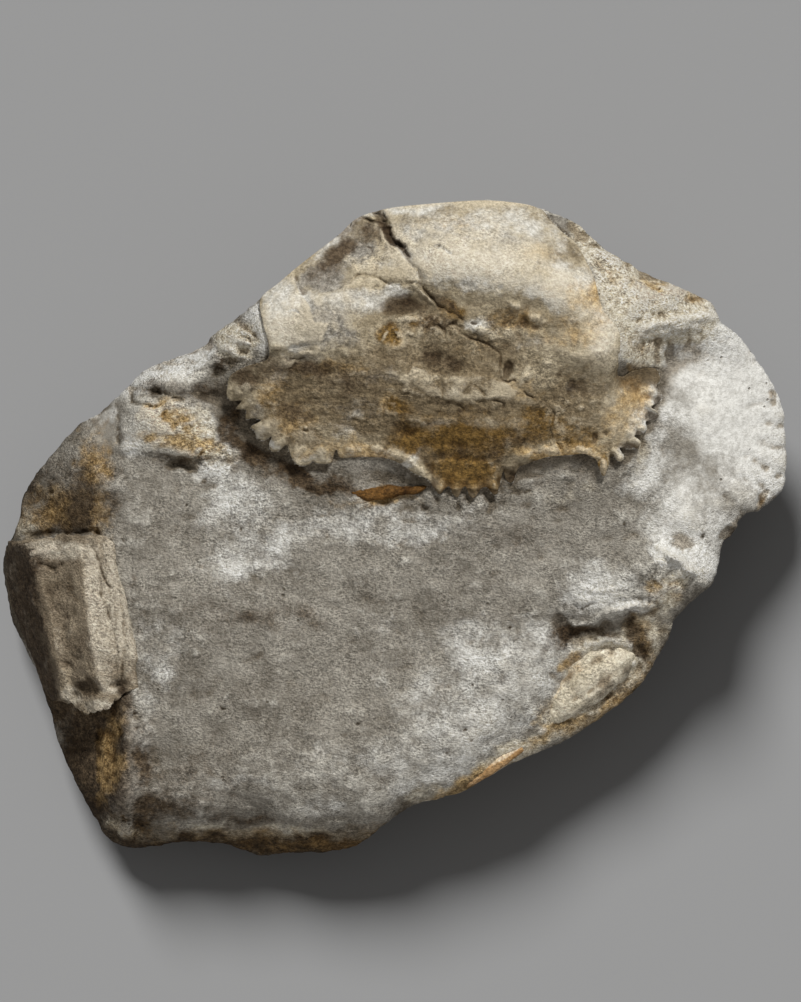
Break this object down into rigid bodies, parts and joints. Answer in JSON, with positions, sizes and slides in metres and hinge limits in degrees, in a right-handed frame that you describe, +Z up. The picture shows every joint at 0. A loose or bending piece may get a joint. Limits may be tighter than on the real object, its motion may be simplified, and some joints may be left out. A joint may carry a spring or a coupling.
{
  "type": "fossil crab",
  "caption": "Crab carapace with toothed margins, lying with broken limb segments in a loose block of chalk; stands flat as a display specimen.",
  "frame": {"origin": "middle of the block's flat base", "axes": "+Z up from the base; +X along the block's longest side, to the right as seen from above with the crab's front towards -Y"},
  "size_m": [0.1318, 0.1094, 0.0408],
  "materials": {
    "chalk": "dull granular grey to white chalk with ochre and brown stains",
    "carapace": "matt cream to ochre fossil shell, finely pitted and cracked",
    "claw": "matt beige fossil shell with lengthwise ridges",
    "leg": "matt beige to orange fossil shell",
    "sliver": "orange fossil shell, slightly smooth",
    "orbit": "dark brown-orange fossil shell"
  },
  "bodies": {
    "root": {"matrix": "chalk", "carapace": "carapace", "left_claw_segment": "claw", "right_leg_segment": "leg", "leg_sliver": "sliver", "orbit_rim": "orbit"}
  },
  "joints": []
}
